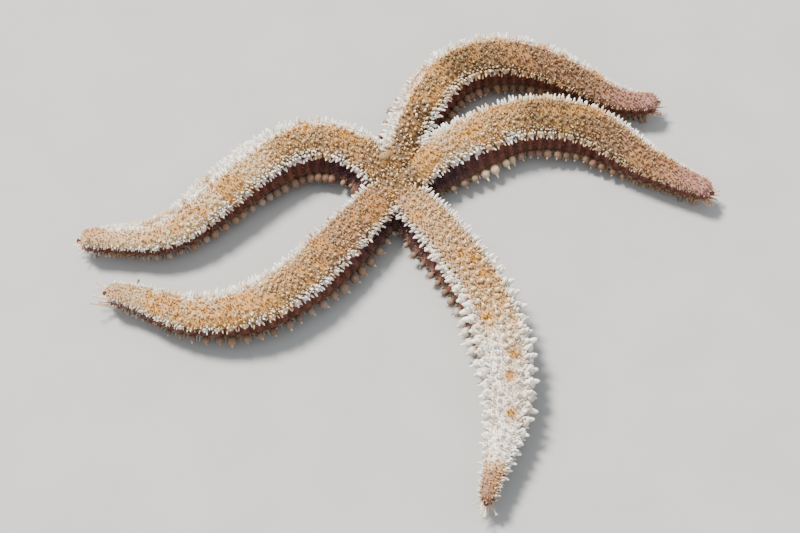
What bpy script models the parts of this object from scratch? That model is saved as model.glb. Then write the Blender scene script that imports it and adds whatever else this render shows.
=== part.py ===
"""Starfish at rest on the floor, a life-size display model.

Five slender arms run from a small disc. Each arm is a chain of bends swept with one section:
a low domed back, an upper and a lower row of marginal spines, two flat soles and a groove.
The surface is that of the tips of the spines and papulae. Metres, +Z up, floor at z = 0.
"""
import math

import bmesh
import bpy
import numpy as np
from mathutils import Matrix, Vector

MM = 0.001

# Where the middle of the disc lies, so that the whole animal is centred on the origin.
DISC_CENTRE = (-1.7 * MM, 26.5 * MM)

# Each arm's length from the disc's middle, and its compass heading in degrees (0 along +X,
# anticlockwise) at equal steps from the middle to the tip. Arm A lies opposite the madreporite
# and the others follow clockwise. FEELERS is the number of tube feet that reach past the tip.
ARMS = {
    "A": (119 * MM, (305, 306, 300, 287, 273, 254, 256)),
    "B": (110 * MM, (237, 231, 231, 214, 185, 153, 174)),
    "C": (114 * MM, (130, 153, 203, 226, 227, 180, 183)),
    "D": (120 * MM, (81, 74, 55, 11, -23, -31, 10)),
    "E": (112 * MM, (30, 32, 26, -4, -36, -26, -29)),
}
FEELERS = {"A": 2, "B": 4, "C": 2, "D": 2, "E": 2}

# The arm's section at its widest: half its width at the wall, and the height of its back.
ARM_HALF_WIDTH = 10.2 * MM
ARM_HEIGHT = 14.5 * MM
WIDEST_AT = 0.5         # fraction of the arm's length
ROOT_WAIST = 0.2        # how much narrower than the widest the arm starts
ROOT_SINK = 0.12        # how much lower it starts
TIP_TAPER = 0.74        # how much narrower it ends
TIP_SINK = 0.62         # how much lower it ends
TAPER_POWER = 2.2       # how late the taper sets in
TIP_ROUND = 2.5 * MM    # the blunt end is rounded over this length
TIP_ROUNDING = 0.7      # how much the rounding takes off the very end
TIP_LIFT = 3.0 * MM     # the end curls up off the floor by this much
LIFT_FROM = 0.76        # fraction of the length where the curl starts

# One half of the section, from the middle of the back round to the roof of the groove,
# as fractions of the half width and the height.
HALF_SECTION = (
    (0.00, 1.00),
    (0.42, 0.96),
    (0.64, 0.85),
    (0.72, 0.66),
    (0.75, 0.38),
    (0.78, 0.14),
    (0.66, 0.00),
    (0.30, 0.00),
    (0.00, 0.20),
)
UPPER_ROW = 2           # the step of the section that carries the upper marginal spines
LOWER_ROW = 4           # the step that carries the lower ones
UPPER_SPINE = 1.7 * MM  # how far each row stands out
LOWER_SPINE = 2.4 * MM
PLATE = 4.4 * MM        # length of one marginal plate, which bears one spine of each row
SPINES_FROM = 13 * MM   # distance from the disc's middle where the upper row starts
CROWDED_TO = 38 * MM    # and where the lower row, short between crowded arms, is full size
CROWDED_SHARE = 0.2     # how much of its full size the lower row starts with

# The disc, and the lengths into which each arm is divided.
ROOT = 22 * MM          # distance from the disc's middle where the arms' own nodes start
ROOT_STARTS = 2 * MM    # and where their roots start inside the disc
LENGTHS = (("base", 0.0, 0.34), ("middle", 0.34, 0.68), ("tip", 0.68, 1.0))
GAP = 0.3 * MM
DISC_PROFILE = (
    (0.0, 13.1),
    (5.0, 13.0),
    (9.5, 12.2),
    (12.6, 10.4),
    (14.4, 7.0),
    (15.0, 4.0),
    (13.4, 2.2),
    (0.0, 2.2),
)
DISC_SIDES = 20
MOUTH_RADIUS = 4.2 * MM
MOUTH_DEPTH = 3.6 * MM
MOUTH_SIDES = 10

# The madreporite, a round sieve plate let into the disc between arms C and D.
SIEVE_HEADING = 110
SIEVE_DISTANCE = 8.4 * MM
SIEVE_RADIUS = 1.6 * MM
SIEVE_HEIGHT = 1.3 * MM
SIEVE_TOP = 13.0 * MM
SIEVE_SIDES = 12
SIEVE_BEVEL = 0.3       # width of its sloped rim, as a fraction of its radius
SIEVE_RISE = 0.15       # how far its middle rises, likewise

# The eyespot on the end of each arm, and the tube feet that reach past it.
EYE_RADIUS = 0.9 * MM
EYE_DEPTH = 0.5 * MM
EYE_LEVEL = 0.62        # how high it sits, as a fraction of the tip's height
FEELER_RADIUS = 0.35 * MM
FEELER_LENGTH = 2.4 * MM
FEELER_ROOT = 1.2 * MM  # how deep it is set in the tip
FEELER_LEVEL = 0.34     # how high it leaves the tip, as a fraction of the tip's height
FEELER_SPREAD = 0.42    # how far apart the outer two leave it, as a fraction of its width
FEELER_SPLAY = 0.5      # how far they turn outward
FEELER_TILT = 0.12      # how far they point up

COLOURS = {
    "back": (0.62, 0.38, 0.19, 1.0),
    "tip": (0.60, 0.36, 0.30, 1.0),
    "sieve": (0.75, 0.66, 0.45, 1.0),
    "eye": (0.45, 0.05, 0.03, 1.0),
}


def clear_scene():
    """Remove every object that the file holds."""
    for item in list(bpy.data.objects):
        bpy.data.objects.remove(item, do_unlink=True)


def material(name, colour, roughness):
    """A plain coloured material."""
    made = bpy.data.materials.new(name)
    made.use_nodes = True
    shader = made.node_tree.nodes["Principled BSDF"]
    shader.inputs["Base Color"].default_value = colour
    shader.inputs["Roughness"].default_value = roughness
    shader.inputs["Metallic"].default_value = 0.0
    return made


def add_object(name, bm, skin):
    """Turn a bmesh into an object with outward faces and a material."""
    bmesh.ops.recalc_face_normals(bm, faces=bm.faces)
    mesh = bpy.data.meshes.new(name)
    bm.to_mesh(mesh)
    bm.free()
    mesh.materials.append(skin)
    item = bpy.data.objects.new(name, mesh)
    bpy.context.scene.collection.objects.link(item)
    return item


def apply_boolean(target, other, operation, solver="EXACT"):
    """Join or cut one object with another, which is used up."""
    cut = target.modifiers.new(operation.lower(), "BOOLEAN")
    cut.operation = operation
    cut.solver = solver
    cut.object = other
    bpy.context.view_layer.update()
    graph = bpy.context.evaluated_depsgraph_get()
    joined = bpy.data.meshes.new_from_object(target.evaluated_get(graph))
    target.modifiers.remove(cut)
    target.data = joined
    bpy.data.objects.remove(other, do_unlink=True)


class Arm:
    """One arm's centre line, a chain of arcs through its headings, and its section."""

    STEPS = 600

    def __init__(self, length, headings):
        self.length = length
        edges = np.linspace(0.0, 1.0, self.STEPS + 1)
        middles = (edges[1:] + edges[:-1]) / 2
        turns = np.linspace(0.0, 1.0, len(headings))
        angles = np.radians(np.interp(middles, turns, headings))
        step = length / self.STEPS
        self.places = edges * length
        self.x = DISC_CENTRE[0] + np.append(0.0, np.cumsum(np.cos(angles) * step))
        self.y = DISC_CENTRE[1] + np.append(0.0, np.cumsum(np.sin(angles) * step))
        self.angles = np.append(angles, angles[-1])

    def frame(self, along):
        """The point on the floor below the centre line and the level direction there."""
        x = np.interp(along, self.places, self.x)
        y = np.interp(along, self.places, self.y)
        angle = np.interp(along, self.places, self.angles)
        return Vector((x, y, 0.0)), Vector((math.cos(angle), math.sin(angle), 0.0))

    def half_width(self, along):
        """Half the width at the wall."""
        t = along / self.length
        root = ROOT_WAIST * max(0.0, (WIDEST_AT - t) / WIDEST_AT) ** 2
        tip = TIP_TAPER * max(0.0, (t - WIDEST_AT) / (1 - WIDEST_AT)) ** TAPER_POWER
        return ARM_HALF_WIDTH * (1 - root - tip)

    def height(self, along):
        """Height of the back above the soles."""
        t = along / self.length
        root = ROOT_SINK * max(0.0, (WIDEST_AT - t) / WIDEST_AT) ** 2
        tip = TIP_SINK * max(0.0, (t - WIDEST_AT) / (1 - WIDEST_AT)) ** TAPER_POWER
        return ARM_HEIGHT * (1 - root - tip)

    def lift(self, along):
        """Height of the soles above the floor, where the tip curls up."""
        t = along / self.length
        return TIP_LIFT * max(0.0, (t - LIFT_FROM) / (1 - LIFT_FROM)) ** 2

    def spine(self, row, along):
        """How far a marginal spine stands out, by its row."""
        share = self.half_width(along) / ARM_HALF_WIDTH
        if row == "upper":
            return UPPER_SPINE * share * (along > SPINES_FROM)
        room = (along - ROOT) / (CROWDED_TO - ROOT)
        return LOWER_SPINE * share * min(1.0, CROWDED_SHARE + room) * (along >= ROOT)

    def ring(self, along):
        """The points of the closed section at one place."""
        foot, ahead = self.frame(along)
        side = Vector((-ahead.y, ahead.x, 0.0))
        width = self.half_width(along)
        height = self.height(along)
        near_end = max(0.0, 1 - (self.length - along) / TIP_ROUND)
        blunt = math.sqrt(1 - TIP_ROUNDING * near_end ** 2)
        right = [(u, v) for u, v in HALF_SECTION]
        left = [(-u, v) for u, v in reversed(HALF_SECTION[1:-1])]
        points = []
        for u, v in right + left:
            level = 0.5 + (v - 0.5) * blunt
            point = foot + side * (u * width * blunt)
            point.z = self.lift(along) + level * height
            points.append(point)
        return points


def sweep(arm, start, end, step_length):
    """The closed body of an arm between two places, with its marginal spines."""
    count = max(2, round((end - start) / step_length))
    places = np.linspace(start, end, count + 1)
    bm = bmesh.new()
    rings = [[bm.verts.new(point) for point in arm.ring(place)] for place in places]
    size = len(rings[0])
    rows = {UPPER_ROW: "upper", LOWER_ROW: "lower"}
    rows.update({size - 1 - row: name for row, name in rows.items()})
    bearing = []
    for index, (first, second) in enumerate(zip(rings, rings[1:])):
        for step in range(size):
            after = (step + 1) % size
            face = bm.faces.new((first[step], second[step], second[after], first[after]))
            if step in rows and index % 2:
                bearing.append((face, arm.spine(rows[step], places[index])))
    bm.faces.new(rings[0])
    bm.faces.new(rings[-1])
    bmesh.ops.recalc_face_normals(bm, faces=bm.faces)
    for face, length in bearing:
        if length > 0:
            bmesh.ops.poke(bm, faces=[face], offset=length)
    return bm


def turned(profile, sides):
    """A closed body turned about the Z axis through the disc's middle."""
    bm = bmesh.new()
    rings = []
    for radius, level in profile:
        if radius == 0.0:
            rings.append([bm.verts.new((0.0, 0.0, level * MM))])
            continue
        spots = [2 * math.pi * index / sides for index in range(sides)]
        rings.append([bm.verts.new((radius * MM * math.cos(spot), radius * MM * math.sin(spot),
                                    level * MM)) for spot in spots])
    for first, second in zip(rings, rings[1:]):
        for index in range(sides):
            after = (index + 1) % sides
            corners = [first[index % len(first)], second[index % len(second)],
                       second[after % len(second)], first[after % len(first)]]
            bm.faces.new(list(dict.fromkeys(corners)))
    bmesh.ops.translate(bm, verts=bm.verts, vec=(*DISC_CENTRE, 0.0))
    return bm


def sieve_place():
    """The middle of the madreporite's top."""
    angle = math.radians(SIEVE_HEADING)
    return Vector((DISC_CENTRE[0] + SIEVE_DISTANCE * math.cos(angle),
                   DISC_CENTRE[1] + SIEVE_DISTANCE * math.sin(angle), SIEVE_TOP))


def round_plug(radius, depth, top, sides):
    """An upright cylinder whose top is at a given point."""
    bm = bmesh.new()
    place = Matrix.Translation(top - Vector((0.0, 0.0, depth / 2)))
    bmesh.ops.create_cone(bm, cap_ends=True, segments=sides, radius1=radius, radius2=radius,
                          depth=depth, matrix=place)
    return bm


def make_disc(arms, skin):
    """The disc with the roots of the five arms, its mouth below and the sieve plate's seat.

    The roots cross one another at shallow angles, where only the manifold solver joins them.
    """
    disc = add_object("disc", turned(DISC_PROFILE, DISC_SIDES), skin)
    for letter, arm in arms.items():
        root = add_object("root_" + letter, sweep(arm, ROOT_STARTS, ROOT - GAP, PLATE), skin)
        apply_boolean(disc, root, "UNION", "MANIFOLD")
    mouth = round_plug(MOUTH_RADIUS, 2 * MOUTH_DEPTH, Vector((*DISC_CENTRE, MOUTH_DEPTH)),
                       MOUTH_SIDES)
    apply_boolean(disc, add_object("mouth", mouth, skin), "DIFFERENCE", "MANIFOLD")
    depth = SIEVE_HEIGHT + GAP
    seat_top = sieve_place() + Vector((0, 0, depth))
    seat = round_plug(SIEVE_RADIUS + GAP, 2 * depth, seat_top, SIEVE_SIDES)
    apply_boolean(disc, add_object("seat", seat, skin), "DIFFERENCE", "MANIFOLD")
    return disc


def make_sieve(skin):
    """The madreporite, a low domed button in its seat."""
    bm = round_plug(SIEVE_RADIUS, SIEVE_HEIGHT, sieve_place(), SIEVE_SIDES)
    top = [face for face in bm.faces if face.normal.z > 0.9]
    bmesh.ops.inset_region(bm, faces=top, thickness=SIEVE_RADIUS * SIEVE_BEVEL,
                           depth=SIEVE_RADIUS * SIEVE_RISE)
    return add_object("madreporite", bm, skin)


def make_feeler(arm, share, skin):
    """One tube foot that leaves the blunt end of an arm, at a share from left (-1) to right."""
    foot, ahead = arm.frame(arm.length)
    side = Vector((-ahead.y, ahead.x, 0.0))
    width = arm.half_width(arm.length)
    aim = (ahead + side * share * FEELER_SPLAY + Vector((0.0, 0.0, FEELER_TILT))).normalized()
    start = foot + side * share * width * FEELER_SPREAD - ahead * FEELER_ROOT
    start.z = arm.lift(arm.length) + arm.height(arm.length) * FEELER_LEVEL
    bm = bmesh.new()
    length = FEELER_LENGTH + FEELER_ROOT
    turn = aim.to_track_quat("Z", "Y").to_matrix().to_4x4()
    place = Matrix.Translation(start + aim * length / 2) @ turn
    bmesh.ops.create_cone(bm, cap_ends=True, segments=5, radius1=FEELER_RADIUS,
                          radius2=FEELER_RADIUS, depth=length, matrix=place)
    return add_object("feeler", bm, skin)


def make_arm(letter, arm, skins):
    """The three lengths of one arm."""
    span = arm.length - ROOT
    for name, first, last in LENGTHS:
        start = ROOT + first * span
        end = ROOT + last * span
        if last < 1.0:
            end -= GAP
        skin = skins["tip"] if name == "tip" else skins["back"]
        piece = add_object(f"arm_{letter}_{name}", sweep(arm, start, end, PLATE / 2), skin)
        if name == "tip":
            for index in range(FEELERS[letter]):
                share = 2 * index / (FEELERS[letter] - 1) - 1
                apply_boolean(piece, make_feeler(arm, share, skin), "UNION")


def make_eye(letter, arm, skin):
    """The eyespot, a low dome just ahead of the blunt end."""
    foot, ahead = arm.frame(arm.length)
    centre = foot + ahead * GAP
    centre.z = arm.lift(arm.length) + arm.height(arm.length) * EYE_LEVEL
    bm = bmesh.new()
    bmesh.ops.create_uvsphere(bm, u_segments=10, v_segments=6, radius=EYE_RADIUS)
    flat = [vert for vert in bm.verts if vert.co.z < -0.01 * MM]
    bmesh.ops.delete(bm, geom=flat, context="VERTS")
    rim = [edge for edge in bm.edges if edge.is_boundary]
    bmesh.ops.edgeloop_fill(bm, edges=rim)
    bmesh.ops.scale(bm, vec=(1.0, 1.0, EYE_DEPTH / EYE_RADIUS), verts=bm.verts)
    turn = ahead.to_track_quat("Z", "Y").to_matrix().to_4x4()
    bmesh.ops.transform(bm, matrix=Matrix.Translation(centre) @ turn, verts=bm.verts)
    return add_object(f"eye_{letter}", bm, skin)


def main():
    clear_scene()
    skins = {name: material(name, colour, 0.6) for name, colour in COLOURS.items()}
    arms = {letter: Arm(length, headings) for letter, (length, headings) in ARMS.items()}
    make_disc(arms, skins["back"])
    make_sieve(skins["sieve"])
    for letter, arm in arms.items():
        make_arm(letter, arm, skins)
        make_eye(letter, arm, skins["eye"])


main()
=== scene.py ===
"""Looks of the starfish: skin, spines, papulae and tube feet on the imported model, and its stage."""

import math
from functools import partial

import bmesh
import bpy
import numpy as np
from bpy.props import FloatProperty, FloatVectorProperty, IntProperty, PointerProperty
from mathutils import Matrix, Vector
from mathutils.bvhtree import BVHTree
from mathutils.kdtree import KDTree


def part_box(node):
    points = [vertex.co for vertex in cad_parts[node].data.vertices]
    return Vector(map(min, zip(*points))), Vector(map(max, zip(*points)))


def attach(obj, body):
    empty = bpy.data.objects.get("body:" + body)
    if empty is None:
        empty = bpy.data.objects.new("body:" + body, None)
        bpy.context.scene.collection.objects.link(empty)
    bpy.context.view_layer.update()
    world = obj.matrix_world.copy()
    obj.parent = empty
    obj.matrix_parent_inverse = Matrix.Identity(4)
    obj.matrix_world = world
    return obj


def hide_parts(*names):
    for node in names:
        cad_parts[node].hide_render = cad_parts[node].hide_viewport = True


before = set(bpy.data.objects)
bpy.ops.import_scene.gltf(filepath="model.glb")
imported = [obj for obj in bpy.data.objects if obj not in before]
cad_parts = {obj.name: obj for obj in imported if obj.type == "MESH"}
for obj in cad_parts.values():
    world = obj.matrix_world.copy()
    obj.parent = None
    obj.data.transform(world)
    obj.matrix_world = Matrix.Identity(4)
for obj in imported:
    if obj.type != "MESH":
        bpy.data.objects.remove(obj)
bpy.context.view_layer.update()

bl_info = {
    "name": "Starfish",
    "version": (1, 0, 0),
    "blender": (4, 5, 0),
    "location": "View3D > Sidebar > Starfish",
    "description": "Builds the skin, spines, papulae and tube feet of a starfish",
    "category": "Add Mesh",
}

MM = 0.001

# The arms' centre lines, as the solids have them: length from the disc's middle, and heading in
# degrees at equal steps from the middle to the tip.
DISC_CENTRE = np.array((-1.7 * MM, 26.5 * MM))
ARMS = {
    "A": (119 * MM, (305, 306, 300, 287, 273, 254, 256)),
    "B": (110 * MM, (237, 231, 231, 214, 185, 153, 174)),
    "C": (114 * MM, (130, 153, 203, 226, 227, 180, 183)),
    "D": (120 * MM, (81, 74, 55, 11, -23, -31, 10)),
    "E": (112 * MM, (30, 32, 26, -4, -36, -26, -29)),
}
# How far an arm's section leans over to its left for each metre of height, and between which
# shares of its length that comes and goes.
LEAN = {
    "A": (0.10, 0.02, 0.16, 0.40, 0.80), "B": (0.0, 0.02, 0.16, 0.40, 0.80),
    "C": (-0.22, 0.02, 0.16, 0.22, 0.50), "D": (0.12, 0.25, 0.50, 0.75, 0.95),
    "E": (0.24, 0.02, 0.16, 0.60, 0.97),
}
# How much wider its foot is near the disc, and between which shares of the length that ends.
FLARE = {"A": (0.30, 0.15, 0.42), "B": (0.36, 0.24, 0.50), "C": (0.24, 0.38, 0.62),
         "D": (0.18, 0.30, 0.55), "E": (0.38, 0.20, 0.46)}
LETTERS = tuple(ARMS)
LENGTHS = np.array([length for length, _ in ARMS.values()])
LARGE = LETTERS.index("A")    # the arm with the largest spines
HALF_WIDTH = 10.2 * MM
HEIGHT = 14.5 * MM
NARROWING = {"A": 0.72}    # what share of the width a tip loses, where it isn't the usual one
USUAL_NARROWING = 0.58
ARM, ALONG, AROUND, VALLEY = 0, 1, 4, 5    # columns of places on the body
FLESH = ["disc"] + [f"arm_{letter}_{part}" for letter in ARMS for part in ("base", "middle", "tip")]

# One half of the skin's section, from the middle of the back round to the roof of the groove, as
# fractions of the arm's half width and height. It lies inside the solids by the coat's depth.
HALF_SECTION = (
    (0.000, 0.885), (0.220, 0.876), (0.400, 0.845), (0.540, 0.785), (0.622, 0.700),
    (0.632, 0.580), (0.625, 0.450), (0.668, 0.310), (0.660, 0.210), (0.585, 0.130),
    (0.455, 0.100), (0.325, 0.112), (0.240, 0.170), (0.200, 0.270), (0.130, 0.350),
    (0.000, 0.375),
)
# Where the rows stand on that section.
UPPER_ROW = (0.622, 0.700)
COLLAR_ROW = (0.615, 0.685)
LOWER_ROW = (0.668, 0.265)
BACK_ROWS = (0.02, 0.17, 0.31, 0.44, 0.55)    # shares across
BACK_POINTS = 30    # how many points the back has once the section is rounded
# Rows of spines beside the groove: place on the section, and how far they lean out and down.
GROOVE_ROWS = (((0.455, 0.100), 0.85, -0.52), ((0.350, 0.106), 0.45, -0.62))
# Rows of tube feet in the groove: place on the section, shift in plates, and reach outwards.
FOOT_ROWS = (((0.06, 0.372), 0.0, 0.25), ((0.15, 0.33), 0.15, 0.75))

# How many random places are tried for the loose back spines, the spinelets and the papulae.
TRIES = {"back": 26000, "spinelets": 42000, "papulae": 60000}
MOST_TRIANGLES = 200_000    # in one piece that grows on the skin
RELAXING = (0.5, -0.52)    # how far each point moves towards its neighbours, by turns
PATCH = 0.003    # how wide one body is on the bake map

# The disc below the arms' roots, in millimetres out from its middle and up: first how it runs
# under an arm, where it leaves the groove open, then how it fills the corner between two arms.
UNDER_ARMS = (
    (0.0, 10.6), (4.5, 10.5), (7.4, 9.8), (8.8, 8.6), (9.5, 7.2), (9.7, 6.4), (9.6, 5.6),
    (9.2, 4.8), (7.4, 4.6), (4.6, 4.6), (3.8, 5.8), (1.6, 6.1), (1.2, 7.4), (0.0, 7.8),
)
BETWEEN_ARMS = (
    (0.0, 10.6), (4.5, 10.5), (7.4, 9.8), (9.4, 8.2), (11.0, 6.4), (12.4, 4.6), (13.6, 2.9),
    (13.4, 1.5), (9.8, 1.4), (5.6, 2.6), (3.8, 5.8), (1.6, 6.1), (1.2, 7.4), (0.0, 7.8),
)

# Profiles of what grows on the skin, from root to tip: share of its length, share of its radius.
BACK_SPINE = ((0.0, 0.95), (0.35, 0.84), (0.66, 0.90), (0.86, 0.86), (0.96, 0.52))
SPINELET = ((0.0, 0.95), (0.45, 0.84), (0.80, 0.86), (0.95, 0.52))
COLLAR = ((0.0, 0.80), (0.40, 1.00), (0.80, 0.80))
BALL = (
    (0.0, 0.62), (0.14, 0.80), (0.32, 0.96), (0.52, 1.00), (0.70, 0.92), (0.86, 0.70),
    (0.96, 0.40),
)
TOOTH = ((0.0, 0.92), (0.30, 1.00), (0.60, 0.90), (0.83, 0.66), (0.95, 0.36))
SLENDER = ((0.0, 0.90), (0.40, 1.00), (0.80, 0.80), (0.95, 0.50))
PAPULA = ((0.0, 0.80), (0.50, 1.00), (0.88, 0.72))
TUBE_FOOT = (
    (0.0, 0.80), (0.12, 0.62), (0.34, 0.58), (0.60, 0.52), (0.84, 0.50), (0.92, 0.92),
    (0.975, 1.0),
)
FEELER = (
    (0.0, 1.00), (0.20, 0.80), (0.45, 0.66), (0.70, 0.56), (0.86, 0.56), (0.94, 0.95),
    (0.985, 0.80),
)
# What grows on the skin: profile, number of sides, material, lobes and how deep they ripple it.
GROWTHS = {
    "back_spines": (BACK_SPINE, 8, "Spine", 0, 0.0),
    "back_collars": (COLLAR, 12, "Collar", 6, 0.14),
    "spinelets": (SPINELET, 6, "Spine", 0, 0.0),
    "papulae": (PAPULA, 5, "Papula", 0, 0.0),
    "upper_spines": (TOOTH, 7, "Spine", 0, 0.0),
    "upper_collars": (BALL, 20, "Cushion", 7, 0.11),
    "lower_cushions": (BALL, 24, "Cushion", 8, 0.13),
    "lower_spines": (TOOTH, 10, "Spine", 0, 0.0),
    "groove_spines": (SLENDER, 6, "Spine", 0, 0.0),
    "mouth_spines": (SLENDER, 8, "Spine", 0, 0.0),
    "tube_feet": (TUBE_FOOT, 8, "Tube foot", 0, 0.0),
    "feelers": (FEELER, 10, "Tube foot", 0, 0.0),
}
ROOT_DEPTH = 0.25 * MM    # how far it starts below the skin

# Spines of the upper row: place in plates along the row, place on the section, length and radius
# in millimetres, and how far each leans up and along.
UPPER_SPINES = (
    (0.00, (0.624, 0.688), 2.50, 0.47, 0.08, 0.0),
    (0.34, (0.630, 0.650), 2.35, 0.43, 0.00, 0.08),
    (-0.33, (0.630, 0.655), 2.30, 0.43, 0.02, -0.08),
    (0.17, (0.600, 0.734), 2.50, 0.43, 0.62, 0.05),
    (-0.16, (0.598, 0.736), 2.40, 0.41, 0.66, -0.05),
    (0.50, (0.596, 0.738), 2.30, 0.41, 0.70, 0.0),
    (0.02, (0.562, 0.768), 2.00, 0.36, 1.20, 0.0),
    (0.48, (0.560, 0.770), 1.90, 0.34, 1.30, 0.0),
    (0.27, (0.520, 0.797), 1.90, 0.34, 2.20, 0.0),
    (0.76, (0.516, 0.799), 1.85, 0.33, 2.40, 0.0),
)

# Where the arms turn paler, or browner below 0: shares of the length between which it comes and goes,
# how much, and the signed share around from which on, if not everywhere. Much of it is the arms' own
# colour, but the rows with a share around are painted highlights along the edges that the sun lights,
# A's lighter outer half is partly a painted highlight, and B's browner base is painted shade.
TINTS_AND_LIGHT = (
    ("A", 0.38, 0.72, 0.86, 0.98, 0.78), ("A", 0.02, 0.08, 0.50, 0.66, 0.28),
    ("A", 0.50, 0.66, 0.84, 0.94, 0.60, -0.06), ("A", 0.88, 0.98, 2.00, 3.00, -0.50),
    ("B", 0.03, 0.08, 0.30, 0.45, -0.45), ("B", 0.25, 0.35, 0.85, 0.96, 0.50, -0.17),
    ("B", 0.42, 0.60, 2.00, 3.00, 0.36), ("C", 0.03, 0.08, 0.26, 0.40, -0.30),
    ("C", 0.30, 0.46, 0.88, 0.97, 0.52), ("C", 0.88, 0.97, 2.00, 3.00, 0.45),
    ("C", 0.08, 0.16, 0.86, 0.97, 0.85, -0.12),
    ("D", 0.30, 0.42, 2.00, 3.00, -1.00), ("D", 0.06, 0.14, 0.93, 1.00, 0.90, 0.145),
    ("E", 0.05, 0.10, 0.24, 0.38, 0.36), ("E", 0.34, 0.46, 2.00, 3.00, -0.75),
    ("E", 0.10, 0.20, 0.90, 1.00, 0.50, 0.17),
)
# How far from the disc's middle, in millimetres, the back is bare and dark between its spines.
BARE = {"A": 10, "B": 9, "C": 12, "D": 34, "E": 8}
# Where the lower rows are darkened to a brownish painted shade, likewise.
LOWER_ROW_SHADE = (
    ("A", 0.02, 0.04, 0.34, 0.50, 0.85), ("B", 0.05, 0.12, 0.95, 1.00, 0.75),
    ("C", 0.02, 0.04, 0.95, 1.00, 0.68), ("C", 0.02, 0.04, 0.30, 0.50, 0.22),
    ("D", 0.02, 0.04, 0.95, 1.00, 0.80),
    ("E", 0.02, 0.04, 0.20, 0.25, 0.80), ("E", 0.34, 0.40, 0.95, 1.00, 0.80),
)
# Where they're pink.
ROSY = (
    ("A", 0.84, 0.98, 2.0, 3.0, 0.35), ("A", 0.03, 0.08, 0.25, 0.50, 0.15),
    ("B", 0.84, 0.98, 2.0, 3.0, 0.15), ("B", 0.03, 0.08, 0.25, 0.50, 0.15),
    ("C", 0.84, 0.98, 2.0, 3.0, 0.30), ("D", 0.80, 0.98, 2.0, 3.0, 0.85),
    ("E", 0.80, 0.98, 2.0, 3.0, 0.85), ("D", 0.45, 0.65, 0.80, 0.98, 0.20),
    ("E", 0.55, 0.70, 0.80, 0.98, 0.20),
)
# Ochre spots on the back: arm, millimetres along, share across.
SPOTS = (
    ("A", 15.7, -0.42), ("A", 35.7, -0.08), ("A", 38.5, 0.13), ("A", 44.4, 0.16),
    ("A", 58.7, -0.32), ("A", 72.4, 0.20), ("A", 79.3, 0.02), ("A", 90.8, 0.15),
    ("E", 29.1, -0.08), ("C", 21.5, -0.10),
)
# Long tube feet that reach out past the edge: arm, share of the length, side.
REACHING = (("C", 0.80, -1), ("E", 0.80, 1), ("B", 0.93, -1))
# How much longer the feelers of some tips are.
LONG_FEELERS = {"A": 1.5, "B": 1.7}

# The stage: the floor, the sun's strength, width, colour and direction, the sky, and the camera.
FLOOR_RADIUS = 4.0
SUN_STRENGTH = 10.0
SUN_WIDTH = math.radians(14)
SUN_COLOUR = (1.0, 0.95, 0.87)
SUN_WAY = (0.42, -0.44, -0.80)
SKY = (0.90, 0.95, 1.0)
LENS = 86    # in millimetres
CAMERA_PLACE = (0.0002, -0.3137, 0.5039)
CAMERA_TILT = math.radians(32)


# ---------------------------------------------------------------- settings

def length(name, description, default, **more):
    """A length setting, in metres."""
    return FloatProperty(name=name, description=description, default=default, unit="LENGTH", **more)


def colour(name, description, default):
    """A colour setting."""
    return FloatVectorProperty(name=name, description=description, default=default,
                               subtype="COLOR", size=3, min=0.0, max=1.0)


class StarfishSizes(bpy.types.PropertyGroup):
    """Sizes of the skin's mesh and of what grows on it."""

    voxel: length("Skin mesh", "Edge length of the skin's faces", 0.55 * MM, min=0.4 * MM)
    spine_length: length("Back spine length", "Length of a back spine", 1.45 * MM)
    spine_radius: length("Back spine radius", "Radius of its head", 0.29 * MM)
    spine_spacing: length("Back spine spacing", "Least distance between back spines", 1.6 * MM)
    spinelet_spacing: length("Spinelet spacing", "Least distance between spinelets", 1.0 * MM)
    papula_spacing: length("Papula spacing", "Least distance between papulae", 0.66 * MM)
    papula_length: length("Papula length", "Length of a papula", 1.0 * MM)
    plate: length("Marginal plate", "Length of one marginal plate at mid-arm", 3.7 * MM)
    seed: IntProperty(name="Seed", description="Picks one scatter of the small parts", default=7)


class StarfishColours(bpy.types.PropertyGroup):
    """Colours of the animal and the floor."""

    tan: colour("Back", "Ground colour of the back", (0.230, 0.140, 0.070))
    ochre: colour("Ochre", "Blotches between the spines", (0.47, 0.235, 0.062))
    amber: colour("Spots", "The strongest ochre spots", (0.42, 0.21, 0.035))
    # Brown of the specks and the bare ground, and the painted shade in the valleys between the arms.
    brown: colour("Valleys", "Valleys between the arms on the disc", (0.055, 0.029, 0.015))
    earth: colour("Bare ground", "Papulae where the back is bare", (0.130, 0.070, 0.031))
    # The walls' dark reddish brown is partly their own colour and partly painted shade.
    wall: colour("Walls", "Sides between the marginal rows", (0.135, 0.045, 0.034))
    # A darker purplish painted shade on the walls and undersides at the arms' roots.
    root_wall_shade: colour("Walls at the disc", "Sides of the arms' roots", (0.042, 0.016, 0.024))
    under: colour("Underside", "Skin beside the grooves", (0.42, 0.26, 0.15))
    tip: colour("Arm tips", "Pinkish ends of the arms", (0.36, 0.17, 0.15))
    cream: colour("Back spines", "Tips of the back's spines", (0.92, 0.67, 0.37))
    white: colour("Marginal spines", "Tips of the spines along the edges", (0.96, 0.92, 0.85))
    # Painted shade of the lower rows' cushions and spines.
    cushion: colour("Cushions", "Cushions of the lower spines", (0.200, 0.115, 0.075))
    golden: colour("Papulae", "Tips of the papulae", (0.74, 0.475, 0.215))
    sieve: colour("Madreporite", "The sieve plate", (0.36, 0.23, 0.11))
    eye: colour("Eyespots", "Eyespots at the arm tips", (0.15, 0.045, 0.042))
    floor: colour("Floor", "The floor of the stage", (0.38, 0.38, 0.375))


# ---------------------------------------------------------------- the arms' own coordinates

def smooth(value, low, high):
    """0 below low, 1 above high, and an even rise between."""
    share = np.clip((value - low) / (high - low), 0.0, 1.0)
    return share * share * (3 - 2 * share)


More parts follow.
